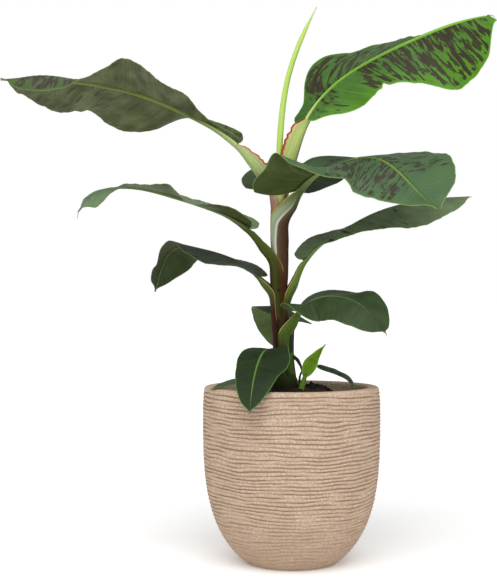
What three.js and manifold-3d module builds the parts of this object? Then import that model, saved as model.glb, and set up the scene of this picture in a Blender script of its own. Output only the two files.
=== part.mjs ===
// A potted banana plant. Millimetres, +Z up, origin at the centre of the pot's flat underside.
// The plant leans out of a mound of soil in a ribbed egg-shaped pot: one stem of rolled leaf sheaths,
// ten leaves on channelled stalks, a rolled spear leaf at the top and a few small leaves at the foot.
import * as THREE from 'three';
import { mergeVertices } from 'three/addons/utils/BufferGeometryUtils.js';
import Module from 'manifold-3d';

const wasm = await Module();
wasm.setup();

// ---------------------------------------------------------------- driving dimensions
const GAP = 0.3; // clearance between neighbouring solids

const POT = {
  height: 345,
  radius: 174.2, // at its widest
  widest: 300, // height of the widest ring
  foot: 88, // radius of the flat underside
  bulge: 3.3, // how square the egg shape is
  rimInset: 2.7, // the mouth is this much narrower than the widest ring
  wall: 22,
  floor: 18,
  rimRound: 5,
  sides: 44,
};

const SOIL = {
  edge: 314, // level where it meets the pot
  top: 338, // flat top of the root ball
  ball: 66, // radius of that flat top
  shoulder: 92, // radius where the root ball's side meets the loose soil
  sides: 36,
};

// The stem of rolled sheaths: where its axis runs and how thick it is, at even steps up from the soil.
const STEM = {
  from: SOIL.top + GAP,
  to: 748,
  east: [-13, -16, -21, -24, -23, -25, -31],
  north: [4, 3, 1, 0, 1, 3, 5],
  radius: [22, 19.5, 18.5, 17.5, 16.5, 15.5, 12.5],
  flare: 4, // extra radius at the foot
  flareRise: 26,
  sides: 14,
  rings: 14,
};

// Every leaf grows by the same rule. It leaves the stem's axis at a height, offset outwards, and its rib runs
// for a stalk's length and a blade's length while its rise (degrees above level) and heading (degrees from
// +X towards +Y) change smoothly through the stations listed. On each side of the rib the blade lifts by an
// angle above level and curls by a further angle by the time it reaches its edge.
const LEAVES = {
  top_right: {
    height: 688, out: 5, stalk: 190, blade: 410, lobe: 140, tip: 45,
    rise: [82, 75, 57, 33, 23, 17, 3], heading: [-14, -15, -18, -16, -17, -21, -25],
    stalkWidth: [11, 12, 13, 11], rib: 5,
    left: { reach: [58, 36, 104, 114, 112, 105, 90, 60, 0], lift: [50, 56, 50, 31, 24, 18, 5, -20, -30] },
    right: {
      reach: [10, 68, 92, 104, 92, 104, 136, 106, 26],
      lift: [-30, -38, -58, -52, -54, -66, -78, -72, -55], lobe: 115,
    },
  },
  top_left: {
    height: 696, out: 6, stalk: 150, blade: 482, lobe: 125,
    rise: [76, 48, 26, 19, 7, 0, -6], heading: [184, 194, 199, 202, 205, 204, 202],
    stalkWidth: [10, 12, 13, 9], rib: 5,
    left: {
      reach: [18, 10, 18, 75, 100, 105, 92, 62, 0], lift: [60, 40, 26, 10, 9, 19, 2, 40, 20],
      curl: [0, 0, 0, 0, 0, 0, -20, -170, -180],
    },
    right: {
      reach: [40, 30, 26, 68, 100, 98, 92, 58, 0],
      lift: [62, 56, 20, -40, -38, -22, -32, -25, -10],
    },
  },
  front_right: {
    height: 633, out: 6, stalk: 108, blade: 368, lobe: 150, fan: 0.45, tip: 55,
    rise: [80, 60, 25, 8, -28, -40, -32], heading: [-27, -29, -29, -38, -50, -52, -51],
    stalkWidth: [15, 14, 12, 10], rib: 5,
    left: {
      reach: [40, 66, 92, 106, 106, 108, 98, 68, 8], lift: [60, 50, 20, 6, 8, 17, 37, 44, 40], lobe: 95,
    },
    right: {
      reach: [84, 114, 104, 88, 88, 92, 70, 40, 0],
      lift: [58, 24, 4, -27, -40, -41, -46, -35, -20],
    },
  },
  back: {
    height: 668, out: 5, stalk: 92, blade: 345, lobe: 140,
    rise: [74, 50, 28, 12, 2, -6, -16], heading: [76, 64, 56, 50, 46, 46, 46],
    stalkWidth: [12, 11, 9], rib: 4.5,
    left: { reach: [75, 104, 98, 94, 90, 84, 70, 44, 0], lift: [22, 11, 6, 0, -10, -20, -20, -20, -20] },
    right: { reach: [68, 76, 88, 92, 90, 84, 70, 44, 0], lift: [5, -14, -24, -22, -20, -20, -20, -20, -20] },
  },
  mid_right: {
    height: 482, out: 14, stalk: 120, blade: 376, lobe: 130,
    rise: [86, 67, 35, 29, 16, 7, 2], heading: [4, 6, 7, 12, 14, 14, 14],
    stalkWidth: [11, 11, 9], rib: 4.5,
    left: { reach: [30, 45, 70, 78, 80, 76, 66, 42, 0], lift: [40, 28, 8, -4, -8, -12, -15, -20, -20] },
    right: { reach: [8, 8, 20, 38, 64, 82, 76, 50, 8], lift: [-20, -25, -30, -30, -34, -38, -36, -30, -20] },
  },
  mid_left: {
    height: 546, out: 8, stalk: 126, blade: 369, lobe: 130,
    rise: [84, 55, 26, 18, 13, -12, -62], heading: [190, 186, 177, 177, 183, 193, 207],
    stalkWidth: [12, 12, 10], rib: 4,
    left: { reach: [20, 35, 55, 70, 72, 70, 60, 38, 0], lift: [45, 30, 10, -5, 12, 3, -6, -45, -40] },
    right: { reach: [52, 54, 64, 72, 72, 70, 60, 38, 0], lift: [30, 22, 12, 9, 12, 10, 4, 0, 0] },
  },
  low_left: {
    height: 475, out: 9, stalk: 98, blade: 312, lobe: 130,
    rise: [84, 58, 28, 15, 3, -61, -73], heading: [170, 158, 156, 154, 150, 146, 142],
    stalkWidth: [10, 10, 8], rib: 4,
    left: { reach: [25, 40, 56, 60, 58, 54, 50, 34, 0], lift: [5, -2, -16, -20, -10, 8, -20, -10, 0] },
    right: { reach: [25, 45, 56, 62, 62, 70, 62, 36, 0], lift: [12, 2, -5, -10, -12, -25, -38, -35, -20] },
  },
  low_right: {
    height: 410, out: 8, stalk: 90, blade: 230, lobe: 135,
    rise: [76, 68, 36, 6, -16, -44, -46], heading: [-42, -44, -39, -38, -37, -38, -34],
    stalkWidth: [10, 10, 8], rib: 4,
    left: { reach: [25, 42, 50, 60, 62, 62, 54, 34, 0], lift: [30, 33, 20, 9, 6, 18, 14, 5, 5] },
    right: { reach: [42, 45, 58, 62, 62, 62, 54, 34, 0], lift: [72, 20, -50, -55, -48, -42, -38, -30, -10] },
  },
  low_back: {
    height: 440, out: 8, stalk: 58, blade: 176, lobe: 130,
    rise: [78, 56, 18, -22, -46, -60, -70], heading: [86, 87, 88, 88, 88, 88, 88],
    stalkWidth: [10, 9, 7], rib: 3.5,
    left: { reach: [25, 50, 62, 66, 64, 60, 50, 32, 0], lift: [10, 3, -3, -3, 0, 0, 0, 0, 0] },
    right: { reach: [25, 54, 68, 70, 62, 32, 24, 16, 0], lift: [-20, -30, -35, -31, -24, -14, -6, 0, 0] },
  },
  front_low: {
    height: 350, out: 14, stalk: 74, blade: 219, lobe: 128,
    rise: [66, 62, 0, -30, -38, -46, -48], heading: [238, 243, 247, 253, 258, 262, 264],
    stalkWidth: [9, 8, 6], rib: 3,
    left: { reach: [12, 32, 50, 60, 59, 47, 34, 20, 0], lift: [15, 10, 3, -2, -2, 0, 0, 0, 0] },
    right: { reach: [20, 30, 42, 44, 41, 37, 31, 20, 0], lift: [15, 5, 2, 0, 0, 0, 0, 0, 0] },
  },
  // The young shoot beside the stem, with its leaf half unrolled, and two small leaves at the foot.
  shoot: {
    foot: [17, -30, 328], stalk: 42, blade: 71, lobe: 120, roll: 72,
    rise: [80, 78, 68, 60, 56, 54, 54], heading: [-20, -20, -20, -20, -20],
    stalkWidth: [6, 5, 4], rib: 2,
    left: { reach: [5, 11, 15, 16, 14, 11, 8, 4, 0], lift: [30, 25, 25, 25, 25, 30, 30, 30, 30] },
    right: { reach: [6, 13, 19, 21, 19, 15, 10, 5, 0], lift: [30, 25, 25, 25, 25, 30, 30, 30, 30] },
  },
  foot_right: {
    foot: [15, -5, 328], stalk: 84, blade: 93, lobe: 110,
    rise: [88, 86, 30, -14, -16, -34, -74], heading: [-26, -24, -19, -24, -26, -31, -34],
    stalkWidth: [3.5, 2.5, 2], rib: 1.5,
    left: { reach: [8, 13, 15, 15, 15, 14, 12, 8, 0], lift: [10, 5, 5, 5, 0, 0, 0, 0, 0] },
    right: { reach: [5, 8, 9, 9, 9, 9, 8, 6, 0], lift: [-30, -40, -40, -35, -35, -30, -20, -10, 0] },
  },
  foot_left: {
    foot: [-36, -28, 326], stalk: 62, blade: 88, lobe: 125,
    rise: [62, 44, 10, -5, -10, -11, -14], heading: [208, 206, 204, 204, 207, 210, 210],
    stalkWidth: [4, 3.5, 3], rib: 1.5,
    left: { reach: [10, 20, 26, 26, 24, 20, 15, 8, 0], lift: [3, 3, 3, 3, 3, 3, 3, 3, 3] },
    right: { reach: [10, 20, 26, 26, 24, 20, 15, 8, 0], lift: [8, 8, 8, 8, 8, 8, 8, 8, 8] },
  },
};

// The rolled spear leaf stands on the stem's top; an old leafless stalk hangs from the stem's foot.
const SPEAR = {
  foot: [-25, 2, 742], length: 363, rise: [89, 88, 85, 80, 72, 66, 62], heading: [0, 0],
  width: [6.6, 6.5, 6.3, 5.8, 5.2, 4.4, 0.7], round: true, rings: 14,
};
const OLD_STALK = {
  foot: [0, -2, 404], length: 62, rise: [-20, -62, -72, -78], heading: [-14, -14],
  width: [4, 3, 2.2, 1.6], rings: 5,
};

// ---------------------------------------------------------------- helpers
const radians = THREE.MathUtils.degToRad;

// A smooth function of 0..1 through evenly spaced stations.
function smooth(stations) {
  const curve = new THREE.SplineCurve(stations.map((value, i) => new THREE.Vector2(i, value)));
  return (share) => curve.getPoint(THREE.MathUtils.clamp(share, 0, 1)).y;
}

function solidOf(geometry) {
  const bare = geometry.clone();
  bare.deleteAttribute('normal');
  bare.deleteAttribute('uv');
  const merged = mergeVertices(bare, 1e-3);
  return new wasm.Manifold(
    new wasm.Mesh({
      numProp: 3,
      vertProperties: new Float32Array(merged.attributes.position.array),
      triVerts: new Uint32Array(merged.index.array),
    }),
  );
}

function geometryOf(solid) {
  const mesh = solid.getMesh();
  const geometry = new THREE.BufferGeometry();
  geometry.setAttribute('position', new THREE.BufferAttribute(new Float32Array(mesh.vertProperties), 3));
  geometry.setIndex(new THREE.BufferAttribute(new Uint32Array(mesh.triVerts), 1));
  geometry.computeVertexNormals();
  return geometry;
}

// The solid less its neighbours. Only its largest piece is kept, and slivers that the cut leaves are smoothed
// away.
const SLIVER = 0.02;
function carve(solid, neighbours) {
  const cut = neighbours.reduce((rest, neighbour) => rest.subtract(neighbour), solid);
  const largest = cut.decompose().reduce((a, b) => (a.volume() > b.volume() ? a : b));
  return largest.simplify(SLIVER);
}

function bend(geometry, place) {
  const position = geometry.attributes.position;
  const vertex = new THREE.Vector3();
  for (let i = 0; i < position.count; i++) {
    vertex.fromBufferAttribute(position, i);
    position.setXYZ(i, ...place(vertex).toArray());
  }
  return geometry;
}

// ---------------------------------------------------------------- pot and soil
function potRadius(z) {
  const { radius, widest, foot, bulge, rimInset, height } = POT;
  if (z > widest) return radius - rimInset * ((z - widest) / (height - widest)) ** 2;
  const footShare = Math.pow(1 - (foot / radius) ** 2, 1 / bulge); // how far down the egg the foot cuts it
  const down = footShare * (widest - z) / widest;
  return radius * Math.sqrt(1 - down ** bulge);
}

function lathe(profile, sides) {
  const points = profile.map(([r, z]) => new THREE.Vector2(r, z));
  return new THREE.LatheGeometry(points, sides).rotateX(Math.PI / 2);
}

function levels(from, to, steps, ease = 1) {
  return Array.from({ length: steps + 1 }, (_, i) => from + (to - from) * (i / steps) ** ease);
}

function makePot() {
  const { height, floor, wall, rimRound, foot, sides } = POT;
  const brim = height - rimRound;
  const outer = levels(0, brim, 12, 1.5).map((z) => [potRadius(z), z]);
  const rim = [
    [potRadius(height) - rimRound * 0.3, height - rimRound * 0.3],
    [potRadius(height) - rimRound, height],
    [potRadius(height) - wall + rimRound, height],
    [potRadius(height) - wall, brim],
  ];
  const inner = levels(brim - 20, floor + 8, 7).map((z) => [potRadius(z) - wall, z]);
  const inside = [...inner, [foot - wall, floor], [0, floor]];
  return lathe([[0, 0], [foot, 0], ...outer.slice(1), ...rim, ...inside], sides);
}

function makeSoil() {
  const { edge, top, ball, shoulder, sides } = SOIL;
  const { wall, floor, foot } = POT;
  const side = levels(floor + 8, edge, 7).map((z) => [potRadius(z) - wall - 2 * GAP, z]);
  return lathe([
    [0, floor + GAP], [foot - wall - 2 * GAP, floor + GAP], ...side,
    [shoulder + 20, edge + 3], [shoulder, edge + 7], [(ball + shoulder) / 2, (edge + top) / 2 + 6],
    [ball + 8, top - 3], [ball, top], [0, top],
  ], sides);
}

// ---------------------------------------------------------------- stem
const stemEast = smooth(STEM.east);
const stemNorth = smooth(STEM.north);
const stemRadius = smooth(STEM.radius);

function stemAxis(z) {
  const share = (z - STEM.from) / (STEM.to - STEM.from);
  return new THREE.Vector3(stemEast(share), stemNorth(share), z);
}

function makeStem(grown = 0) {
  const { from, to, flare, flareRise, sides, rings } = STEM;
  const height = to - from;
  return bend(new THREE.CylinderGeometry(1, 1, 1, sides, rings), ({ x, y, z }) => {
    const share = y + 0.5;
    const radius = stemRadius(share) + flare * Math.exp((-share * height) / flareRise) + grown;
    return stemAxis(from + share * height + (share === 1 ? grown : 0))
      .add(new THREE.Vector3(x * radius, -z * radius, 0));
  });
}

// ---------------------------------------------------------------- leaves
// The rib's frame at a distance along it: point, and the directions along, up (the upper surface's side)
// and across (to the right when looking along the rib with the upper surface up).
function ribOf({ start, length, rise, heading, roll = 0, steps = 90 }) {
  const riseAt = smooth(rise);
  const headingAt = smooth(heading);
  const point = start.clone();
  const frames = [];
  for (let i = 0; i <= steps; i++) {
    const e = radians(riseAt(i / steps));
    const a = radians(headingAt(i / steps));
    const along = new THREE.Vector3(Math.cos(e) * Math.cos(a), Math.cos(e) * Math.sin(a), Math.sin(e));
    const up = new THREE.Vector3(-Math.sin(e) * Math.cos(a), -Math.sin(e) * Math.sin(a), Math.cos(e));
    const across = new THREE.Vector3(Math.sin(a), -Math.cos(a), 0);
    up.applyAxisAngle(along, radians(roll));
    across.applyAxisAngle(along, radians(roll));
    frames.push({ point: point.clone(), along, up, across });
    point.addScaledVector(along, length / steps);
  }
  return (distance) => {
    const place = THREE.MathUtils.clamp((distance / length) * steps, 0, steps - 1e-6);
    const i = Math.floor(place);
    const blend = (key) => frames[i][key].clone().lerp(frames[i + 1][key], place - i);
    return { point: blend('point'), along: blend('along'), up: blend('up'), across: blend('across') };
  };
}

function leafRib(leaf) {
  const { foot, height, out, stalk, blade } = leaf;
  const away = radians(leaf.heading[0]);
  const start = foot
    ? new THREE.Vector3(...foot)
    : stemAxis(height).add(new THREE.Vector3(Math.cos(away), Math.sin(away), 0).multiplyScalar(out));
  return ribOf({ ...leaf, start, length: stalk + blade });
}

// A stalk is a limb with a round back and a flatter upper side.
const STALK = { upper: 0.6, under: 0.95 };
function makeStalk({ rib, length, width, sides = 8, rings = 8, round = false }, grown = 0) {
  const widthAt = smooth(width);
  return bend(new THREE.CylinderGeometry(1, 1, 1, sides, rings), ({ x, y, z }) => {
    const share = y + 0.5;
    const frame = rib(share * length + (share === 1 ? grown : share === 0 ? -grown : 0));
    const half = widthAt(share);
    const depth = z * half * (z > 0 && !round ? STALK.upper : STALK.under);
    return frame.point
      .addScaledVector(frame.across, x * (half + grown))
      .addScaledVector(frame.up, depth + Math.sign(z) * grown);
  });
}

// The angle between a vein and the rib: veins fan back into the lobes at a blade's base, stand almost
// square to the rib along its body and sweep forward at its tip.
const VEIN = { body: 80, sweep: 0.65, crowd: 1.25 };
const BLADE = {
  clear: 1.6 * GAP, // from the stalk's end to the blade's base
  columns: 6,
  rows: 18,
  spread: 1.3, // gathers the columns towards the rib
};
function veinAngle(t, { lobe, fan = 0.3, tip = 32 }) {
  const { body, sweep } = VEIN;
  if (t < fan) return body + (lobe - body) * (1 - t / fan) ** 1.4;
  if (t > sweep) return body - (body - tip) * ((t - sweep) / (1 - sweep)) ** 1.6;
  return body;
}

// A point of the blade: t runs from its base to its tip, v across it from -1 (left edge) to 1 (right edge).
const VEIN_STEPS = 6;
function bladeShape(leaf, rib) {
  const half = { left: leaf.left, right: leaf.right };
  const sides = {};
  for (const [side, { reach, lift, curl = [0, 0], lobe = leaf.lobe }] of Object.entries(half)) {
    sides[side] = { reach: smooth(reach), lift: smooth(lift), curl: smooth(curl), lobe };
  }
  return (t, v) => {
    const sign = v < 0 ? -1 : 1;
    const { reach, lift, curl, lobe } = v < 0 ? sides.left : sides.right;
    const frame = rib(leaf.stalk + BLADE.clear + (leaf.blade - BLADE.clear) * t ** VEIN.crowd);
    const length = Math.max(reach(t) * Math.min(1, t / 0.06) ** 0.5, 1.5);
    const angle = radians(veinAngle(t, { ...leaf, lobe }));
    const step = (Math.abs(v) * length) / VEIN_STEPS;
    const point = frame.point.clone();
    let tilt = radians(lift(t));
    for (let i = 0; i < VEIN_STEPS; i++) {
      tilt = radians(lift(t) + curl(t) * Math.abs(v) * ((i + 0.5) / VEIN_STEPS));
      point
        .addScaledVector(frame.across, sign * Math.cos(tilt) * Math.sin(angle) * step)
        .addScaledVector(frame.up, Math.sin(tilt) * Math.sin(angle) * step)
        .addScaledVector(frame.along, Math.cos(angle) * step);
    }
    const face = frame.up.clone().multiplyScalar(Math.cos(tilt));
    if (v !== 0) face.addScaledVector(frame.across, -sign * Math.sin(tilt));
    return { point, face };
  };
}

function makeBlade(leaf, rib) {
  const { columns, rows, spread } = BLADE;
  const thick = leaf.blade / 100;
  const shape = bladeShape(leaf, rib);
  return bend(new THREE.BoxGeometry(2, 1, 1, columns, 1, rows), ({ x, y, z }) => {
    const t = 0.5 - z;
    const { point, face } = shape(t, Math.sign(x) * Math.abs(x) ** spread);
    const ridge = x === 0 && y < 0 ? leaf.rib * (1 - 0.8 * t) : 0;
    return point.addScaledVector(face, y * thick - ridge);
  });
}

// ---------------------------------------------------------------- colours
const finish = (color, roughness) => new THREE.MeshStandardMaterial({ color, roughness, metalness: 0 });
const POT_CLAY = finish('#cdb5a0', 0.9);
const SOIL_DARK = finish('#302521', 1);
const STEM_BROWN = finish('#4a4224', 0.55);
const STALK_GREEN = finish('#6f8a3c', 0.5);
const BLADE_GREEN = finish('#48603a', 0.45);
const SPEAR_GREEN = finish('#c4e56c', 0.45);

// ---------------------------------------------------------------- assembly
const plant = new THREE.Group();
function add(name, geometry, material) {
  const mesh = new THREE.Mesh(geometry, material);
  mesh.name = name;
  plant.add(mesh);
}

add('pot', makePot(), POT_CLAY);
add('soil', makeSoil(), SOIL_DARK);
add('stem', makeStem(), STEM_BROWN);

// Stalks are cut clear of the ground, the stem and each other, and blades clear of all of them.
const ground = new THREE.CylinderGeometry(130, 130, 40, 24)
  .rotateX(Math.PI / 2)
  .translate(0, 0, SOIL.top + GAP - 20);
const taken = [solidOf(ground), solidOf(makeStem(GAP))];
function addLimb(name, limb, material) {
  add(name, geometryOf(carve(solidOf(makeStalk(limb)), taken)), material);
  taken.push(solidOf(makeStalk(limb, GAP)));
}

function addFreeLimb(name, limb, material) {
  const rib = ribOf({ ...limb, start: new THREE.Vector3(...limb.foot) });
  addLimb(name, { ...limb, rib }, material);
}

const leaves = Object.entries(LEAVES).map(([name, leaf]) => ({ name, leaf, rib: leafRib(leaf) }));
for (const { name, leaf, rib } of leaves) {
  addLimb(`stalk_${name}`, { rib, length: leaf.stalk, width: leaf.stalkWidth }, STALK_GREEN);
}
addFreeLimb('spear_leaf', SPEAR, SPEAR_GREEN);
addFreeLimb('old_stalk', OLD_STALK, STEM_BROWN);

for (const { name, leaf, rib } of leaves) {
  add(`blade_${name}`, geometryOf(carve(solidOf(makeBlade(leaf, rib)), taken)), BLADE_GREEN);
}

export default plant;
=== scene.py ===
"""A potted banana plant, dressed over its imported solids. Metres, +Z up; sizes below are in millimetres."""
import math

import bpy
import numpy as np
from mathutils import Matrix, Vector, noise


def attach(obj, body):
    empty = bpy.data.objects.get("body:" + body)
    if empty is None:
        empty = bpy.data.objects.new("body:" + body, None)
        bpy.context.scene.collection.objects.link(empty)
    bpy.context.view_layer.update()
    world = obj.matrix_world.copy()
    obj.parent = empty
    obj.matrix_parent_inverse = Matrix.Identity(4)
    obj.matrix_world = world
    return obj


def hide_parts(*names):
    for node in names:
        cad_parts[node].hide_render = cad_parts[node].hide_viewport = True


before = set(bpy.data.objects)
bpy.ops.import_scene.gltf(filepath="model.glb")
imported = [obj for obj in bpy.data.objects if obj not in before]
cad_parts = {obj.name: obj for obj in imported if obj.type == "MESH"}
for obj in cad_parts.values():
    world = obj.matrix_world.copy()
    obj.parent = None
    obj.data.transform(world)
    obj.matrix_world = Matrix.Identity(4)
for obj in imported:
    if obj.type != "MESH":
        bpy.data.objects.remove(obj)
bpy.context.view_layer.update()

MM = 0.001
TAU = 2 * math.pi
bpy.ops.object.select_all(action="DESELECT")

# ---------------------------------------------------------------- the plant's sizes
POT = dict(
    height=345, radius=174.2, widest=300, foot=88, bulge=3.3, rim_inset=2.7, rim_round=5, wall=22, floor=18,
)
POT_RIBS = dict(pitch=7.3, depth=2.1, middle=0.75, from_z=3, to_z=341)
SOIL = dict(edge=315, top=338, ball=66, slope_end=112, crumbs=1500, crumbs_reach=148)
HEAP = dict(east=42, north=12, wide=34, deep=40, tall=9)
STEM = dict(
    start=338.3, top=748, flare=4, flare_rise=26, bare_to=352, covered_from=372, covered_by=2.2,
    east=[-13, -16, -21, -24, -23, -25, -31],
    north=[4, 3, 1, 0, 1, 3, 5],
    radius=[22, 19.5, 18.5, 17.5, 16.5, 15.5, 12.5],
)

# Each leaf leaves the stem's axis at a height, offset outwards, and its rib runs for a stalk's and a blade's
# length while its rise (degrees above level) and heading (degrees from +X towards +Y) change smoothly. On
# each side of the rib the veins reach out, lift above level and curl by a further angle towards the edge.
# They make lobe degrees with the rib at the base, fanned over a share of the blade, and tip degrees at the
# tip. width is the stalk's half width along it, rib the midrib's, and roll turns the leaf about its rib.
# The smallest leaves have a foot in the soil instead of a height.
LEAVES = {
    "top_right": dict(
        height=688, out=5, stalk=190, blade=410, lobe=140, tip=45, width=[11, 12, 13, 11], rib=5,
        rise=[82, 75, 57, 33, 23, 17, 3], heading=[-14, -15, -18, -16, -17, -21, -25],
        left=dict(
            reach=[58, 36, 104, 114, 112, 105, 90, 60, 0], lift=[50, 56, 50, 31, 24, 18, 5, -20, -30],
        ),
        right=dict(
            reach=[10, 68, 92, 104, 92, 104, 136, 106, 26],
            lift=[-30, -38, -58, -52, -54, -66, -78, -72, -55], lobe=115,
        ),
    ),
    "top_left": dict(
        height=696, out=6, stalk=150, blade=482, lobe=125, width=[10, 12, 13, 9], rib=5,
        rise=[76, 48, 26, 19, 7, 0, -6], heading=[184, 194, 199, 202, 205, 204, 202],
        left=dict(
            reach=[18, 10, 18, 75, 100, 105, 92, 62, 0], lift=[60, 40, 26, 10, 9, 19, 2, 40, 20],
            curl=[0, 0, 0, 0, 0, 0, -20, -170, -180],
        ),
        right=dict(
            reach=[40, 30, 26, 68, 100, 98, 92, 58, 0], lift=[62, 56, 20, -40, -38, -22, -32, -25, -10],
        ),
    ),
    "front_right": dict(
        height=633, out=6, stalk=108, blade=368, lobe=150, fan=0.45, tip=55, width=[15, 14, 12, 10], rib=5,
        rise=[80, 60, 25, 8, -28, -40, -32], heading=[-27, -29, -29, -38, -50, -52, -51],
        left=dict(
            reach=[40, 66, 92, 106, 106, 108, 98, 68, 8], lift=[60, 50, 20, 6, 8, 17, 37, 44, 40], lobe=95,
        ),
        right=dict(
            reach=[84, 114, 104, 88, 88, 92, 70, 40, 0], lift=[58, 24, 4, -27, -40, -41, -46, -35, -20],
        ),
    ),
    "back": dict(
        height=668, out=5, stalk=92, blade=345, lobe=140, width=[12, 11, 9], rib=4.5,
        rise=[74, 50, 28, 12, 2, -6, -16], heading=[76, 64, 56, 50, 46, 46, 46],
        left=dict(reach=[75, 104, 98, 94, 90, 84, 70, 44, 0], lift=[22, 11, 6, 0, -10, -20, -20, -20, -20]),
        right=dict(
            reach=[68, 76, 88, 92, 90, 84, 70, 44, 0], lift=[5, -14, -24, -22, -20, -20, -20, -20, -20],
        ),
    ),
    "mid_right": dict(
        height=482, out=14, stalk=120, blade=376, lobe=130, width=[11, 11, 9], rib=4.5,
        rise=[86, 67, 35, 29, 16, 7, 2], heading=[4, 6, 7, 12, 14, 14, 14],
        left=dict(reach=[30, 45, 70, 78, 80, 76, 66, 42, 0], lift=[40, 28, 8, -4, -8, -12, -15, -20, -20]),
        right=dict(
            reach=[8, 8, 20, 38, 64, 82, 76, 50, 8], lift=[-20, -25, -30, -30, -34, -38, -36, -30, -20],
        ),
    ),
    "mid_left": dict(
        height=546, out=8, stalk=126, blade=369, lobe=130, width=[12, 12, 10], rib=4,
        rise=[84, 55, 26, 18, 13, -12, -62], heading=[190, 186, 177, 177, 183, 193, 207],
        left=dict(reach=[20, 35, 55, 70, 72, 70, 60, 38, 0], lift=[45, 30, 10, -5, 12, 3, -6, -45, -40]),
        right=dict(reach=[52, 54, 64, 72, 72, 70, 60, 38, 0], lift=[30, 22, 12, 9, 12, 10, 4, 0, 0]),
    ),
    "low_left": dict(
        height=475, out=9, stalk=98, blade=312, lobe=130, width=[10, 10, 8], rib=4,
        rise=[84, 58, 28, 15, 3, -61, -73], heading=[170, 158, 156, 154, 150, 146, 142],
        left=dict(reach=[25, 40, 56, 60, 58, 54, 50, 34, 0], lift=[5, -2, -16, -20, -10, 8, -20, -10, 0]),
        right=dict(
            reach=[25, 45, 56, 62, 62, 70, 62, 36, 0], lift=[12, 2, -5, -10, -12, -25, -38, -35, -20],
        ),
    ),
    "low_right": dict(
        height=410, out=8, stalk=90, blade=230, lobe=135, width=[10, 10, 8], rib=4,
        rise=[76, 68, 36, 6, -16, -44, -46], heading=[-42, -44, -39, -38, -37, -38, -34],
        left=dict(reach=[25, 42, 50, 60, 62, 62, 54, 34, 0], lift=[30, 33, 20, 9, 6, 18, 14, 5, 5]),
        right=dict(
            reach=[42, 45, 58, 62, 62, 62, 54, 34, 0], lift=[72, 20, -50, -55, -48, -42, -38, -30, -10],
        ),
    ),
    "low_back": dict(
        height=440, out=8, stalk=58, blade=176, lobe=130, width=[10, 9, 7], rib=3.5,
        rise=[78, 56, 18, -22, -46, -60, -70], heading=[86, 87, 88, 88, 88, 88, 88],
        left=dict(reach=[25, 50, 62, 66, 64, 60, 50, 32, 0], lift=[10, 3, -3, -3, 0, 0, 0, 0, 0]),
        right=dict(
            reach=[25, 54, 68, 70, 62, 32, 24, 16, 0], lift=[-20, -30, -35, -31, -24, -14, -6, 0, 0],
        ),
    ),
    "front_low": dict(
        height=350, out=14, stalk=74, blade=219, lobe=128, width=[9, 8, 6], rib=3,
        rise=[66, 62, 0, -30, -38, -46, -48], heading=[238, 243, 247, 253, 258, 262, 264],
        left=dict(reach=[12, 32, 50, 60, 59, 47, 34, 20, 0], lift=[15, 10, 3, -2, -2, 0, 0, 0, 0]),
        right=dict(reach=[20, 30, 42, 44, 41, 37, 31, 20, 0], lift=[15, 5, 2, 0, 0, 0, 0, 0, 0]),
    ),
    "shoot": dict(
        foot=[17, -30, 328], stalk=42, blade=71, lobe=120, roll=72, width=[6, 5, 4], rib=2,
        rise=[80, 78, 68, 60, 56, 54, 54], heading=[-20, -20],
        left=dict(reach=[5, 11, 15, 16, 14, 11, 8, 4, 0], lift=[30, 25, 25, 25, 25, 30, 30, 30, 30]),
        right=dict(reach=[6, 13, 19, 21, 19, 15, 10, 5, 0], lift=[30, 25, 25, 25, 25, 30, 30, 30, 30]),
    ),
    "foot_right": dict(
        foot=[15, -5, 328], stalk=84, blade=93, lobe=110, width=[3.5, 2.5, 2], rib=1.5,
        rise=[88, 86, 30, -14, -16, -34, -74], heading=[-26, -24, -19, -24, -26, -31, -34],
        left=dict(reach=[8, 13, 15, 15, 15, 14, 12, 8, 0], lift=[10, 5, 5, 5, 0, 0, 0, 0, 0]),
        right=dict(reach=[5, 8, 9, 9, 9, 9, 8, 6, 0], lift=[-30, -40, -40, -35, -35, -30, -20, -10, 0]),
    ),
    "foot_left": dict(
        foot=[-36, -28, 326], stalk=62, blade=88, lobe=125, width=[4, 3.5, 3], rib=1.5,
        rise=[62, 44, 10, -5, -10, -11, -14], heading=[208, 206, 204, 204, 207, 210, 210],
        left=dict(reach=[10, 20, 26, 26, 24, 20, 15, 8, 0], lift=[3, 3]),
        right=dict(reach=[10, 20, 26, 26, 24, 20, 15, 8, 0], lift=[8, 8]),
    ),
}
# The rolled leaf at the top, whose outer edge winds by so many radians, and the withered stalk.
SPEAR = dict(
    foot=[-25, 2, 742], length=363, winds=2.2, edge_at=1.9, rise=[89, 88, 85, 80, 72, 66, 62], heading=[0, 0],
    width=[6.6, 6.5, 6.3, 5.8, 5.2, 4.4, 0.7],
)
OLD_STALK = dict(
    foot=[0, -2, 404], length=62, rise=[-20, -62, -72, -78], heading=[-14, -14], width=[4, 3, 2.2, 1.6],
)

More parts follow.
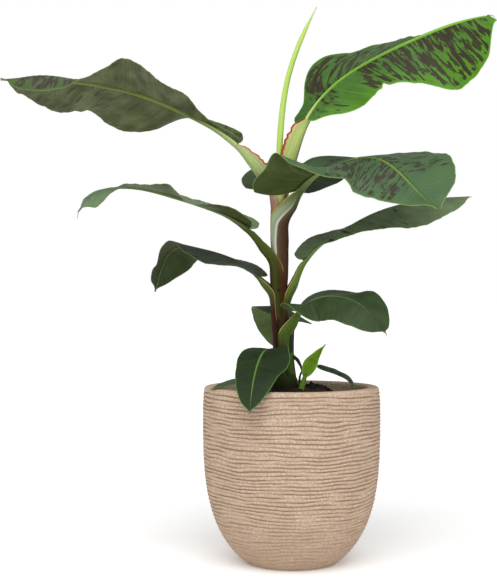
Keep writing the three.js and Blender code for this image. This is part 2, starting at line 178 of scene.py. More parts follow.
# How each leaf is finished, with what most of them share in LOOK.
# Blade: band is the half width of the pale rib along its upper side. upper has its greens, light and dark,
# with a warmer one for a painted glow towards the margins, and under has those below. vein colours the rib,
# the rim and the fine veins. Each of blotches is a side, from and to along the blade, and how dense. stain is
# their colour, grain their counts per metre across and along the veins, and skew how far they sweep towards
# the tip. nicks: a side, where, how long and how deep. folds: a side, where, how long and the degrees it
# turns up. thread: the dry tip's length.
# Stalk: stalk and stalk_dark, with margins that stand up by wing half widths and a ragged lip, and flush for
# how far their colour spreads. The sheath's colours run from its left margin, -1, to its right, 1, with a
# seam at both. They turn into the stalk's between two distances from the point where it comes clear of the
# stem, and the seam fades out below another. drift: how they shift across between two distances. widen: how
# far the sheath wraps beyond its usual angle. opens: from where and how soon. clasp: how much later its
# margins let go than its back. layer: the height that gives it its place among the layers, where that isn't
# its own. scars: where across and along, how wide and how tall.
LOOK = dict(
    glow=0.3, flush=0.0, thread=0, grain=(90, 20), blotches=[], skew=0.5, nicks=[], folds=[], scars=[],
    widen=85, opens=(0, 38), clasp=12, turns=(-50, 35), fades=0, drift=(0, 0, 0, 1),
)


def dressing(sheath, **own):
    """A leaf's look: the shared one with its own. A sheath of one colour has it from margin to margin."""
    stops = [(-1, sheath), (1, sheath)] if isinstance(sheath, str) else sheath
    return dict(LOOK, sheath=stops, **own)


DRESS = {
    "top_right": dressing(
        band=[6, 5.6, 6.0, 4.6, 1.8], upper=("#4a7428", "#385e26"), warm="#52881c", glow=0.9,
        under=("#6b7a4c", "#5c6b40"), vein="#8cc646", stain="#33291c", grain=(115, 24), skew=0.7, thread=16,
        # partly painted light: the stalk colours are its own pale green made lighter, for light that shines
        # through the stalk
        stalk="#d6e492", stalk_dark="#b4c874", margin="#a83c28", flush=0.4, lip=4.0,
        wing=[1.1, 1.15, 1.25, 1.15], seam="#a8402c", turns=(70, 260),
        # painted shade: the dark olive stop at 0.0 darkens the stalk's back, and turns carries these colours
        # far up the stalk
        sheath=[
            (-1, "#c8d888"), (-0.25, "#b4c068"), (0.0, "#8c8c44"), (0.12, "#a4b058"), (0.25, "#c6d97e"),
            (0.8, "#bfd27c"), (1, "#cfae80"),
        ],
        blotches=[("right", 0.36, 1.04, 0.525), ("right", 0.02, 0.34, 0.45), ("left", 0.1, 1.0, 0.5)],
        nicks=[("right", 0.475, 0.012, 0.13)],
    ),
    "top_left": dressing(
        band=[5, 3.6, 3.4, 2.8, 1.2], upper=("#476039", "#3b502e"), warm="#596d39",
        under=("#616c48", "#404529"), vein="#75853a", stain="#3f3530", grain=(95, 22), stalk="#bccf8c",
        stalk_dark="#98ac68", margin="#b4443a", flush=0.4, lip=3.0, wing=[1.1, 1.0, 0.8, 0.5],
        seam="#a08a5c", layer=680, widen=44, turns=(0, 55),
        sheath=[(-1, "#b4a878"), (-0.85, "#be9a80"), (-0.5, "#b08c75"), (0, "#a07f6a"), (1, "#a67c6a")],
        blotches=[("left", 0.7, 1.0, 0.5), ("right", 0.5, 1.0, 0.42), ("right", -0.1, 0.22, 0.5)],
    ),
    "front_right": dressing(
        band=[4.5, 4.0, 3.8, 3.2, 1.3], upper=("#4a6742", "#3c5838"), warm="#527042", glow=0.4,
        under=("#475426", "#3a461f"), vein="#86a653", stain="#3a322b", grain=(110, 40), thread=14,
        stalk="#5c6e36", stalk_dark="#404d27", margin="#a8a860", lip=1.2, wing=[0.8, 0.6, 0.35, 0.2],
        seam="#b87a34", opens=(30, 18), clasp=34, turns=(-5, 62), drift=(-0.26, -0.14, -14, 50),
        # painted highlight: the near-white stop at 0.38 is a highlight stripe down the sheath
        sheath=[
            (-1, "#6a3f22"), (-0.3, "#422c1c"), (0.12, "#513b2a"), (0.3, "#665747"), (0.38, "#d6dacb"),
            (0.46, "#a3b394"), (0.75, "#b8c492"), (1, "#b2ba84"), (1.3, "#9aa068"),
        ],
        blotches=[("right", 0.3, 0.88, 0.495), ("left", 0.15, 0.85, 0.46)],
        folds=[("right", 0.21, 0.03, 17)],
    ),
    "back": dressing(
        band=[3, 2.6, 2.4, 2.0, 0.9], upper=("#324522", "#293d1d"), warm="#384e29",
        under=("#42502c", "#384526"), vein="#6b8442", stain="#3c352c", stalk="#8c9a58",
        stalk_dark="#6c7a40", margin="#8a5a3a", lip=1.2, wing=[0.7, 0.5, 0.3], seam="#8a6a3a",
        sheath="#7d8048", blotches=[("right", 0.2, 0.8, 0.4)],
    ),
    "mid_right": dressing(
        # painted light: the upper greens are made lighter for light that this side, turned from the lamps,
        # doesn't catch
        band=[3, 2.6, 2.4, 1.9, 0.8], upper=("#6e825d", "#566849"), warm="#798d5f",
        under=("#4b5833", "#3d482a"), vein="#75934c", stain="#3a3830", grain=(90, 22), stalk="#6a8438",
        stalk_dark="#4c6428", margin="#a08a58", lip=0.8, wing=[0.7, 0.5, 0.3, 0.15], seam="#8a7040",
        widen=16, fades=38, sheath=[(-1, "#3d3a1c"), (0, "#47451e"), (1, "#4a2c1c")],
        blotches=[("right", 0.15, 0.7, 0.4), ("left", 0.1, 0.6, 0.38)],
    ),
    "mid_left": dressing(
        # painted sheen: the upper greens are made paler, standing in for the sheen on this side
        band=[3, 2.0, 1.9, 1.5, 0.7], upper=("#819a74", "#5c7852"), warm="#88a27a",
        under=("#4a572b", "#3b4622"), vein="#6c8040", stain="#3c382e", thread=16, stalk="#4a5621",
        stalk_dark="#37421a", margin="#4c4c26", lip=0.8, wing=[0.7, 0.5, 0.3, 0.2], seam="#b0804a",
        widen=55, opens=(12, 38), fades=24,
        sheath=[
            (-1, "#4c2310"), (-0.84, "#4a2410"), (-0.7, "#33300f"), (-0.5, "#3c4212"), (-0.32, "#3a3c12"),
            (-0.2, "#42200f"), (0, "#2e160e"), (1, "#2e160e"),
        ],
        scars=[(-0.62, -12, 0.09, 3)], blotches=[("left", 0.5, 0.95, 0.36)],
    ),
    "low_left": dressing(
        band=[3, 1.9, 1.7, 1.4, 0.6], upper=("#3b4733", "#2c3727"), warm="#424f38",
        under=("#3e4c28", "#323e20"), vein="#5f7238", stain="#2f2e28", stalk="#56682c",
        stalk_dark="#414f22", margin="#a08a62", lip=0.8, wing=[0.7, 0.5, 0.3, 0.15], seam="#96684c",
        widen=0,
        sheath=[(-1, "#30130d"), (-0.7, "#3c170d"), (-0.5, "#2c110b"), (0, "#2c1c10"), (1, "#2a100c")],
        scars=[(-0.63, -16, 0.05, 5)], blotches=[("left", 0.1, 0.6, 0.38)],
    ),
    "low_right": dressing(
        band=[2.5, 1.7, 1.6, 1.2, 0.6], upper=("#384c29", "#27381d"), warm="#3d512b",
        under=("#5a6a44", "#465534"), vein="#6d8a4c", stain="#38352c", grain=(85, 22), thread=12,
        stalk="#5f7a30", stalk_dark="#466022", margin="#a89a60", lip=0.6, wing=[0.6, 0.4, 0.25],
        seam="#a8986a", widen=0, fades=40,
        sheath=[
            (-1, "#1e2412"), (-0.4, "#232c14"), (-0.2, "#3c5220"), (0, "#567628"), (0.2, "#4a6224"),
            (0.35, "#3c4a1c"), (0.6, "#3a3c18"), (0.85, "#3a3016"), (1, "#3c2c14"),
        ],
        blotches=[("right", 0.1, 0.8, 0.36), ("left", 0.1, 0.7, 0.36)],
    ),
    "low_back": dressing(
        band=[2, 1.5, 1.4, 1.1, 0.5], upper=("#34452a", "#2d3d26"), warm="#3c5030",
        # painted light: the under greens are made lighter, to lift the shade on the blade's underside
        under=("#748a52", "#5e7144"), vein="#5f7a3c", stain="#2a2a22", stalk="#55662a",
        stalk_dark="#3f4d20", margin="#7c6a42", lip=0.6, wing=[0.6, 0.4, 0.2], seam="#6a5a3a",
        sheath="#33301a",
    ),
    "front_low": dressing(
        band=[3.2, 3.0, 2.4, 1.7, 0.8], upper=("#213215", "#182711"), warm="#263a1a",
        under=("#3c5228", "#324522"), vein="#5f8a3a", stain="#223019", grain=(80, 20), stalk="#4a6428",
        stalk_dark="#385020", margin="#6c7a42", lip=0.4, wing=[0.6, 0.4, 0.2], seam="#4a4428",
        sheath="#211d10", blotches=[("left", 0.2, 0.6, 0.34)],
    ),
    "shoot": dressing(
        band=[1.2, 0.9, 0.8, 0.6, 0.3], upper=("#719a1b", "#587e15"), warm="#86b428", glow=0.5,
        under=("#78ac24", "#5e941c"), vein="#9ac84c", stain="#3c6a14", thread=4, stalk="#7fae3c",
        stalk_dark="#4f7a24", margin="#6f9a34", lip=0.3, wing=[0.4, 0.4], seam="#3c5a20", sheath="#2d4a14",
    ),
    "foot_right": dressing(
        band=[0.8, 0.6, 0.5, 0.4, 0.2], upper=("#3f4f38", "#334230"), warm="#48583c",
        under=("#445636", "#38482e"), vein="#6c8250", stain="#2a2f26", grain=(110, 30), stalk="#2f3a1c",
        stalk_dark="#232b16", margin="#3f3a22", lip=0.0, wing=[0.3, 0.2], seam="#3a3620", sheath="#262b16",
        blotches=[("right", 0.2, 0.95, 0.45), ("left", 0.2, 0.95, 0.45)],
    ),
    "foot_left": dressing(
        band=[0.9, 0.7, 0.6, 0.4, 0.2], upper=("#46583a", "#384a2e"), warm="#4a5e38",
        under=("#5a6e44", "#4a5c38"), vein="#7a9458", stain="#3c4c30", thread=8, stalk="#7c9c46",
        stalk_dark="#5c7a34", margin="#6f8a40", lip=0.0, wing=[0.3, 0.2], seam="#5c7a34", sheath="#5c7a34",
    ),
}
# Sheaths reach down the stem by the longest or to the lowest height, and wrap it to each side. The youngest
# stand off it, each older one a layer less, which fades in over a height past the one where it ends. A
# stalk is clear of the stem with a gap, or at the latest at a share of its length, and blends over there.
SHEATH = dict(
    longest=165, lowest=326, wrap=72, stand=1.8, layer=1.1, past_end=40, fade=25, thick=3.2, blend=30, gap=2,
    latest=0.62,
)
STEM_TINTS = [
    (338, "#1b1a0f"), (400, "#211c0c"), (470, "#2a2212"), (560, "#3f3c1c"), (620, "#5a4a2c"),
    (675, "#8c7058"), (740, "#9a8a5c"),
]
# The stubs of old sheaths: height, length, where they face, how far they wrap and how far they lean out.
STUBS = [(388, 70, -8, 58, 6.0), (334, 34, 150, 60, 2.6), (334, 46, 250, 66, 2.2), (334, 26, 40, 55, 2.4)]
VEIN = dict(body=80, sweep=0.65, crowd=1.25)
# Blades longer than small have the finer mesh. The relief, for a blade of 400 mm: pleats between veins, a
# slow sway, and ripples near the edge.
BLADE = dict(clear=0.48, thick=0.8, thin=0.5, spread=1.25, steps=10, rib_columns=5, small=150)
RELIEF = dict(pleat=0.2, sway=2.2, fine=2.6, broad=4.5)


# ---------------------------------------------------------------- helpers
def colour(hex_code):
    """A hex colour as Blender's linear RGBA."""
    parts = [int(hex_code[i : i + 2], 16) / 255 for i in (1, 3, 5)]
    return [c / 12.92 if c <= 0.04045 else ((c + 0.055) / 1.055) ** 2.4 for c in parts] + [1.0]


def shade_of(hex_code, share):
    """A hex colour made darker or lighter."""
    parts = [min(255, round(int(hex_code[i : i + 2], 16) * share)) for i in (1, 3, 5)]
    return "#" + "".join(f"{part:02x}" for part in parts)


def smooth(stations):
    """A smooth function of 0..1 through evenly spaced stations."""
    values = np.array(stations, float)
    last = len(values) - 1

    def at(share):
        place = np.clip(np.asarray(share, float), 0, 1) * last
        i = np.minimum(place.astype(int), last - 1)
        w = place - i
        p0, p1 = values[np.maximum(i - 1, 0)], values[i]
        p2, p3 = values[i + 1], values[np.minimum(i + 2, last)]
        v0, v1 = (p2 - p0) / 2, (p3 - p1) / 2
        return (2 * p1 - 2 * p2 + v0 + v1) * w**3 + (-3 * p1 + 3 * p2 - 2 * v0 - v1) * w**2 + v0 * w + p1

    return at


def ease(x, low=0.0, high=1.0):
    """0 below low, 1 above high and smooth between them."""
    w = np.clip((np.asarray(x, float) - low) / (high - low), 0, 1)
    return w * w * (3 - 2 * w)


def hump(x, middle, half):
    """1 at the middle, falling smoothly to each side."""
    return np.exp(-(((x - middle) / half) ** 2))


def noise_at(*axes):
    """Perlin noise, about -1..1, at the points of two or three arrays of one shape."""
    arrays = np.broadcast_arrays(*axes)
    flat = [a.ravel() for a in arrays] + [np.zeros(arrays[0].size)] * (3 - len(arrays))
    return np.array([noise.noise(Vector(point)) for point in zip(*flat)]).reshape(arrays[0].shape)


def lattice(stations, sides):
    """Each ring's station and the turn round it, at every corner of a tube."""
    return np.broadcast_arrays(np.asarray(stations)[:, None], np.linspace(0, TAU, sides + 1)[None, :])


def select(*pieces):
    """Selects these pieces alone, with the first one active."""
    bpy.ops.object.select_all(action="DESELECT")
    for piece in pieces:
        piece.select_set(True)
    bpy.context.view_layer.objects.active = pieces[0]


def apply_modifier(piece, kind, **settings):
    select(piece)
    modifier = piece.modifiers.new(kind.lower(), kind)
    for key, value in settings.items():
        setattr(modifier, key, value)
    bpy.ops.object.modifier_apply(modifier=modifier.name)


def grid_piece(name, points, maps=None, marks=None):
    """A grid primitive whose corners move to points[row, column], in millimetres. maps are UV maps and marks
    are point attributes, each with a value for every corner."""
    rows, columns = points.shape[0] - 1, points.shape[1] - 1
    bpy.ops.object.select_all(action="DESELECT")
    bpy.ops.mesh.primitive_grid_add(x_subdivisions=columns, y_subdivisions=rows, size=2, location=(0, 0, 0))
    piece = bpy.context.object
    piece.name = piece.data.name = name
    mesh = piece.data
    corners = np.empty(len(mesh.vertices) * 3)
    mesh.vertices.foreach_get("co", corners)
    corners = corners.reshape(-1, 3)
    column = np.rint((corners[:, 0] + 1) / 2 * columns).astype(int)
    row = np.rint((corners[:, 1] + 1) / 2 * rows).astype(int)
    mesh.vertices.foreach_set("co", (points[row, column] * MM).ravel())
    while mesh.uv_layers:
        mesh.uv_layers.remove(mesh.uv_layers[0])
    loops = np.empty(len(mesh.loops), int)
    mesh.loops.foreach_get("vertex_index", loops)
    for key, (u, v) in (maps or {}).items():
        layer = mesh.uv_layers.new(name=key)
        pairs = np.stack([u[row, column][loops], v[row, column][loops]], axis=1)
        layer.data.foreach_set("uv", pairs.astype(np.float32).ravel())
    for key, values in (marks or {}).items():
        mark = mesh.attributes.new(key, "FLOAT", "POINT")
        mark.data.foreach_set("value", values[row, column].astype(np.float32))
    mesh.update()
    return piece


def closed_tube(name, rings, maps=None, marks=None):
    """A closed tube through rings[row, column]: the last column meets the first, and each end closes on its
    middle."""
    def closed(values):
        return np.concatenate([values[:1], values, values[-1:]])

    foot, tip = (rings[i, :-1].mean(axis=0)[None, None].repeat(rings.shape[1], axis=1) for i in (0, -1))
    maps = {key: (closed(u), closed(v)) for key, (u, v) in (maps or {}).items()}
    marks = {key: closed(values) for key, values in (marks or {}).items()}
    piece = grid_piece(name, np.concatenate([foot, rings, tip]), maps, marks)
    select(piece)
    bpy.ops.object.mode_set(mode="EDIT")
    bpy.ops.mesh.select_all(action="SELECT")
    bpy.ops.mesh.remove_doubles(threshold=1e-6)
    bpy.ops.mesh.normals_make_consistent(inside=False)
    bpy.ops.object.mode_set(mode="OBJECT")
    return piece


def joined(name, pieces):
    """Several pieces as one, with the first one's materials first."""
    select(*pieces)
    bpy.ops.object.join()
    piece = bpy.context.object
    piece.name = piece.data.name = name
    return piece


def dress(piece, *materials):
    for material in materials:
        piece.data.materials.append(material)
    return piece


def finish_piece(piece, nodes=(), angle=60):
    """Smooth shading, and the piece's place in the frame."""
    select(piece)
    bpy.ops.object.shade_smooth_by_angle(angle=math.radians(angle))
    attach(piece, "root")
    if nodes:
        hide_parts(*nodes)
    return piece


# ---------------------------------------------------------------- material building
def feed(tree, sockets, values):
    """Joins each socket to another node's, or sets it to a value."""
    for socket, value in zip(sockets, values):
        if isinstance(value, bpy.types.NodeSocket):
            tree.links.new(value, socket)
        else:
            socket.default_value = value


def join(tree, node, **inputs):
    """Feeds a node's sockets by name."""
    feed(tree, [node.inputs[key.replace("_", " ")] for key in inputs], inputs.values())
    return node


def wire(tree, kind, *values, settings=None, **inputs):
    """A node with its settings, its sockets fed in their order and by name."""
    node = tree.nodes.new(kind)
    for key, value in (settings or {}).items():
        setattr(node, key, value)
    feed(tree, node.inputs, values)
    return join(tree, node, **inputs)


def maths(tree, operation, *values):
    return wire(tree, "ShaderNodeMath", *values, settings=dict(operation=operation)).outputs[0]


def plus(tree, first, second, share):
    """The first value and a share of the second."""
    return maths(tree, "ADD", first, maths(tree, "MULTIPLY", second, share))


def mix(tree, share, first, second):
    node = wire(tree, "ShaderNodeMix", share, settings=dict(data_type="RGBA"))
    feed(tree, node.inputs[6:8], (first, second))
    return node.outputs[2]


def spread(tree, value, low, high, to_low=0.0, to_high=1.0):
    """The value spread from low..high to other limits, smoothly and clamped."""
    settings = dict(interpolation_type="SMOOTHSTEP", clamp=True)
    return wire(tree, "ShaderNodeMapRange", value, low, high, to_low, to_high, settings=settings).outputs[0]


def tinted(tree, value, stops):
    """Colours between stops along a value from the first stop's place to the last one's."""
    low, high = stops[0][0], stops[-1][0]
    ramp = wire(tree, "ShaderNodeValToRGB", wire(tree, "ShaderNodeMapRange", value, low, high).outputs[0])
    for level, _ in stops[1:-1]:
        ramp.color_ramp.elements.new((level - low) / (high - low))
    for stop, (_, tint) in zip(ramp.color_ramp.elements, stops):
        stop.color = colour(tint)
    return ramp.outputs[0]


def stretched_noise(tree, place, scale, detail=3.0, rough=0.55, warp=0.0):
    mapping = wire(tree, "ShaderNodeMapping", Vector=place, Scale=scale)
    settings = dict(Scale=1.0, Detail=detail, Roughness=rough, Distortion=warp)
    return wire(tree, "ShaderNodeTexNoise", Vector=mapping.outputs[0], **settings).outputs[0]


def map_place(tree, name):
    return wire(tree, "ShaderNodeUVMap", settings=dict(uv_map=name)).outputs[0]


def mark_value(tree, name):
    return wire(tree, "ShaderNodeAttribute", settings=dict(attribute_name=name)).outputs["Fac"]


def object_place(tree):
    return wire(tree, "ShaderNodeTexCoord").outputs["Object"]


def height_of(tree, place):
    return wire(tree, "ShaderNodeSeparateXYZ", Vector=place).outputs["Z"]


def new_group(name, inputs, **outputs):
    """A shader node group with named sockets: its tree, its inputs and its output node."""
    tree = bpy.data.node_groups.new(name, "ShaderNodeTree")
    for way, sockets in (("INPUT", inputs), ("OUTPUT", outputs)):
        for key, kind in sockets.items():
            tree.interface.new_socket(key, in_out=way, socket_type=f"NodeSocket{kind}")
    return tree, tree.nodes.new("NodeGroupInput").outputs, tree.nodes.new("NodeGroupOutput")


def skin_of(tree, group, **inputs):
    """What a group puts out, with its sockets fed by name."""
    return wire(tree, "ShaderNodeGroup", settings=dict(node_tree=group), **inputs).outputs


def new_finish(name, roughness=0.5, gloss=0.3, **shader):
    """A material with its Principled shader."""
    material = bpy.data.materials.new(name)
    material.use_nodes = True
    tree = material.node_tree
    bsdf = join(tree, tree.nodes["Principled BSDF"], Roughness=roughness, Specular_IOR_Level=gloss, **shader)
    return material, tree, bsdf


def cover(tree, bsdf, tint, height, relief):
    """Gives the shader its colour, and a relief by height that many millimetres deep."""
    bump = wire(tree, "ShaderNodeBump", Height=height, Distance=relief * MM, Strength=1.0)
    join(tree, bsdf, Base_Color=tint, Normal=bump.outputs[0])


# ---------------------------------------------------------------- skins
def leaf_skin_group():
    """Greens streaked along the veins and warmer where a painted glow lights them, maroon blotches that
    follow the veins, and a thin pale rim."""
    tints = dict.fromkeys(("Light", "Dark", "Warm", "Stain", "Margin"), "Color")
    inputs = dict(Place="Vector", Grain="Vector", Rim="Float", Blotch="Float", Glow="Float", **tints)
    tree, given, out = new_group("leaf skin", inputs, Color="Color", Roughness="Float", Height="Float")
    place = given["Place"]
    cloud = stretched_noise(tree, place, (26, 20, 1), detail=4, rough=0.6)
    streak = stretched_noise(tree, place, (420, 8, 1))
    vein = stretched_noise(tree, place, (230, 3, 1), detail=1)
    patch = stretched_noise(tree, place, given["Grain"], detail=4, rough=0.6, warp=0.5)
    tone = spread(tree, plus(tree, cloud, streak, 0.25), 0.42, 0.84)
    green = mix(tree, tone, given["Light"], given["Dark"])
    # painted glow: the greens turn towards the warmer green where the blade is marked to glow
    green = mix(tree, given["Glow"], green, given["Warm"])
    green = mix(tree, spread(tree, vein, 0.55, 0.75, 0.0, 0.14), green, given["Margin"])
    shade = maths(tree, "ADD", patch, given["Blotch"])
    worn = spread(tree, streak, 0.2, 0.6, 0.75, 1.0)
    mask = maths(tree, "MULTIPLY", spread(tree, shade, 0.985, 1.025), worn)
    stained = mix(tree, mask, green, given["Stain"])
    rim = spread(tree, given["Rim"], 0.0007, 0.0016, 0.75, 0.0)
    join(
        tree, out, Color=mix(tree, rim, stained, given["Margin"]),
        Roughness=spread(tree, streak, 0.2, 0.8, 0.5, 0.64),
        Height=plus(tree, maths(tree, "MULTIPLY", vein, 0.6), streak, 0.4),
    )
    return tree


def limb_skin_group():
    """Skin of sheaths and stalks: streaked lengthwise, with darker freckles and coloured margins."""
    tints = dict.fromkeys(("Base", "Dark", "Margin"), "Color")
    inputs = dict(Place="Vector", Side="Float", Flush="Float", **tints)
    tree, given, out = new_group("limb skin", inputs, Color="Color", Height="Float")
    streak = stretched_noise(tree, given["Place"], (26, 7, 1), detail=4)
    fibre = stretched_noise(tree, given["Place"], (90, 12, 1), detail=2)
    tone = spread(tree, plus(tree, streak, fibre, 0.4), 0.5, 1.0)
    skin = mix(tree, tone, given["Base"], given["Dark"])
    near = spread(tree, given["Side"], 0.72, 1.0)
    skin = mix(tree, maths(tree, "MULTIPLY", near, given["Flush"]), skin, given["Margin"])
    margin = spread(tree, plus(tree, given["Side"], streak, 0.08), 0.97, 1.0)
    join(tree, out, Color=mix(tree, margin, skin, given["Margin"]), Height=fibre)
    return tree


def sand_group():
    """Fine speckle of sand grains in the pot's skin, and painted shade in the grooves between its ribs."""
    tints = dict.fromkeys(("Base", "Low", "Groove"), "Color")
    tree, given, out = new_group(
        "sand", dict(Place="Vector", Relief="Float", **tints), Color="Color", Height="Float"
    )
    cloud = stretched_noise(tree, given["Place"], (22, 22, 40), detail=4)
    grain = stretched_noise(tree, given["Place"], (330, 330, 400), rough=0.8)
    # painted shade: the skin darkens into the grooves, where the relief mark is low
    groove = maths(tree, "SUBTRACT", 1.0, given["Relief"])
    deep = maths(tree, "ADD", groove, maths(tree, "MULTIPLY_ADD", grain, 0.7, -0.35))
    skin = mix(tree, spread(tree, grain, 0.4, 0.6), given["Low"], given["Base"])
    skin = mix(tree, spread(tree, cloud, 0.35, 0.7, 0.0, 0.3), skin, given["Low"])
    skin = mix(tree, spread(tree, deep, 0.15, 1.15), skin, given["Groove"])
    join(tree, out, Color=skin, Height=plus(tree, grain, cloud, 0.3))
    return tree


LEAF_SKIN, LIMB_SKIN, SAND = leaf_skin_group(), limb_skin_group(), sand_group()


def leaf_finish(name, look, greens, upper):
    """One side of a blade. Its pattern follows the veins, by the maps that the blade carries."""
    material, tree, bsdf = new_finish(name, gloss=0.25 if upper else 0.2)
    skin = skin_of(
        tree, LEAF_SKIN, Place=map_place(tree, "veins"), Grain=(*look["grain"], 1),
        Rim=mark_value(tree, "rim"), Blotch=mark_value(tree, "blotch"),
        Glow=mark_value(tree, "glow") if upper else 0.0,
        Light=colour(greens[0]), Dark=colour(greens[1]), Warm=colour(look["warm"]),
        Stain=colour(look["stain"] if upper else shade_of(greens[1], 0.9)), Margin=colour(look["vein"]),
    )
    join(tree, bsdf, Roughness=skin["Roughness"])
    cover(tree, bsdf, skin["Color"], skin["Height"], 0.25)
    return material


def rib_finish(name, look):
    """A midrib: the stalk's colour where it leaves the stalk, then its own."""
    material, tree, bsdf = new_finish(name)
    near = mark_value(tree, "grown")
    skin = skin_of(
        tree, LIMB_SKIN, Place=map_place(tree, "limb"), Side=0.0, Flush=0.0,
        Base=mix(tree, near, colour(look["vein"]), colour(look["stalk"])),
        Dark=mix(tree, near, colour(shade_of(look["vein"], 0.85)), colour(look["stalk_dark"])),
    )
    cover(tree, bsdf, skin["Color"], skin["Height"], 0.15)
    return material


def stalk_finish(name, look):
    """A stalk and its sheath: the sheath's colours across it turn into the stalk's own as it leaves."""
    material, tree, bsdf = new_finish(name, roughness=0.6, gloss=0.08)
    grown, place = mark_value(tree, "grown"), map_place(tree, "limb")
    sway = maths(tree, "MULTIPLY_ADD", stretched_noise(tree, place, (5, 8, 1), detail=2), 0.24, -0.12)
    sheath = tinted(tree, maths(tree, "ADD", mark_value(tree, "across"), sway), look["sheath"])
    skin = skin_of(
        tree, LIMB_SKIN, Place=place, Side=mark_value(tree, "side"),
        Base=mix(tree, grown, sheath, colour(look["stalk"])),
        Dark=mix(tree, grown, mix(tree, 0.4, sheath, colour("#2a1a10")), colour(look["stalk_dark"])),
        Flush=maths(tree, "MULTIPLY", grown, look["flush"]),
        Margin=mix(tree, grown, colour(look["seam"]), colour(look["margin"])),
    )
    scarred = mix(tree, mark_value(tree, "scar"), skin["Color"], colour("#17100c"))
    cover(tree, bsdf, scarred, skin["Height"], 0.25)
    return material


def stem_finish():
    """The stem's own skin: dark and olive low down, pinkish brown near the top."""
    material, tree, bsdf = new_finish("stem skin", roughness=0.6, gloss=0.1)
    height = maths(tree, "MULTIPLY", height_of(tree, object_place(tree)), 1 / MM)
    base = tinted(tree, height, STEM_TINTS)
    skin = skin_of(
        tree, LIMB_SKIN, Place=map_place(tree, "limb"), Side=0.0, Base=base,
        Dark=mix(tree, 0.45, base, colour("#24180e")), Margin=base,
    )
    cover(tree, bsdf, skin["Color"], skin["Height"], 0.25)
    return material


def plain_limb_finish(name, base, dark, margin, roughness=0.5, relief=0.3):
    material, tree, bsdf = new_finish(name, roughness=roughness)
    skin = skin_of(
        tree, LIMB_SKIN, Place=map_place(tree, "limb"), Side=mark_value(tree, "side"), Base=colour(base),
        Dark=colour(dark), Margin=colour(margin),
    )
    cover(tree, bsdf, skin["Color"], skin["Height"], relief)
    return material


def pot_finish():
    """Sandy composite, with painted shade in the grooves and a little towards the foot."""
    material, tree, bsdf = new_finish("sandy composite", roughness=0.85, gloss=0.25)
    place = object_place(tree)
    # the darkest colour here is the painted shade in the grooves between the ribs
    skin = skin_of(
        tree, SAND, Place=place, Relief=mark_value(tree, "relief"), Base=colour("#dcc5ae"),
        Low=colour("#b2967e"), Groove=colour("#8a705a"),
    )
    # painted shade: the skin darkens a little towards the foot, where the pot curves under
    low = spread(tree, height_of(tree, place), 0.01, 0.15, 0.4, 0.0)
    cover(tree, bsdf, mix(tree, low, skin["Color"], colour("#9c826c")), skin["Height"], 1.3)
    return material


def soil_finish():
    material, tree, bsdf = new_finish("dark potting soil", roughness=0.95, gloss=0.2)
    clod = stretched_noise(tree, object_place(tree), (160, 160, 160), detail=5, rough=0.7)
    tint = mix(tree, spread(tree, clod, 0.35, 0.7), colour("#1d1613"), colour("#43342c"))
    cover(tree, bsdf, tint, clod, 2.0)
    return material


# ---------------------------------------------------------------- stem, sheaths and stalks
STEM_EAST, STEM_NORTH, STEM_RADIUS = (smooth(STEM[key]) for key in ("east", "north", "radius"))


def stem_share(z):
    return (np.asarray(z, float) - STEM["start"]) / (STEM["top"] - STEM["start"])


def stem_axis(z):
    share = stem_share(z)
    return np.stack([STEM_EAST(share), STEM_NORTH(share), np.asarray(z, float)], axis=-1)


def stem_radius(z):
    rise = np.maximum(np.asarray(z, float) - STEM["start"], 0)
    return STEM_RADIUS(stem_share(z)) + STEM["flare"] * np.exp(-rise / STEM["flare_rise"])


def rib_of(start, length, rise, heading, roll=0.0, steps=90):
    """The rib's frame by distance: point, along, up (the upper surface's side) and across (to the right)."""
    shares = np.arange(steps + 1) / steps
    e, a = np.radians(smooth(rise)(shares)), np.radians(smooth(heading)(shares))
    along = np.stack([np.cos(e) * np.cos(a), np.cos(e) * np.sin(a), np.sin(e)], axis=1)
    up = np.stack([-np.sin(e) * np.cos(a), -np.sin(e) * np.sin(a), np.cos(e)], axis=1)
    across = np.stack([np.sin(a), -np.cos(a), np.zeros_like(a)], axis=1)
    c, s = math.cos(math.radians(roll)), math.sin(math.radians(roll))
    up, across = up * c + np.cross(along, up) * s, across * c + np.cross(along, across) * s
    travelled = np.concatenate([[[0, 0, 0]], np.cumsum(along[:-1], axis=0)])
    point = np.array(start, float) + travelled * length / steps
    ways = dict(point=point, along=along, up=up, across=across)
    stops = np.arange(steps + 1)

    def at(distance):
        place = np.asarray(distance, float) / length * steps
        found = {}
        for key, values in ways.items():
            found[key] = np.stack([np.interp(place, stops, values[:, k]) for k in range(3)], -1)
        past = np.maximum(place - steps, 0) + np.minimum(place, 0)
        found["point"] = found["point"] + found["along"] * (past * length / steps)[..., None]
        return found

    return at


def beside(frames, out, up):
    """Points beside a rib, so far out to its right and up."""
    return frames["point"] + frames["across"] * out[..., None] + frames["up"] * up[..., None]


def limb_frames(limb, share):
    """A limb's frames at shares of its length."""
    return rib_of(limb["foot"], limb["length"], limb["rise"], limb["heading"])(share * limb["length"])


def leaf_rib(leaf):
    away = math.radians(leaf["heading"][0])
    if "foot" in leaf:
        start = leaf["foot"]
    else:
        start = stem_axis(leaf["height"]) + leaf["out"] * np.array([math.cos(away), math.sin(away), 0])
    return rib_of(start, leaf["stalk"] + leaf["blade"], leaf["rise"], leaf["heading"], leaf.get("roll", 0))


def across_at(turn):
    """How far across a section a turn is, from its left margin, -1, to its right, 1, on either side of it."""
    return np.where(turn > math.pi, (turn - 1.5 * math.pi) / (0.5 * math.pi), 1 - 2 * turn / math.pi)


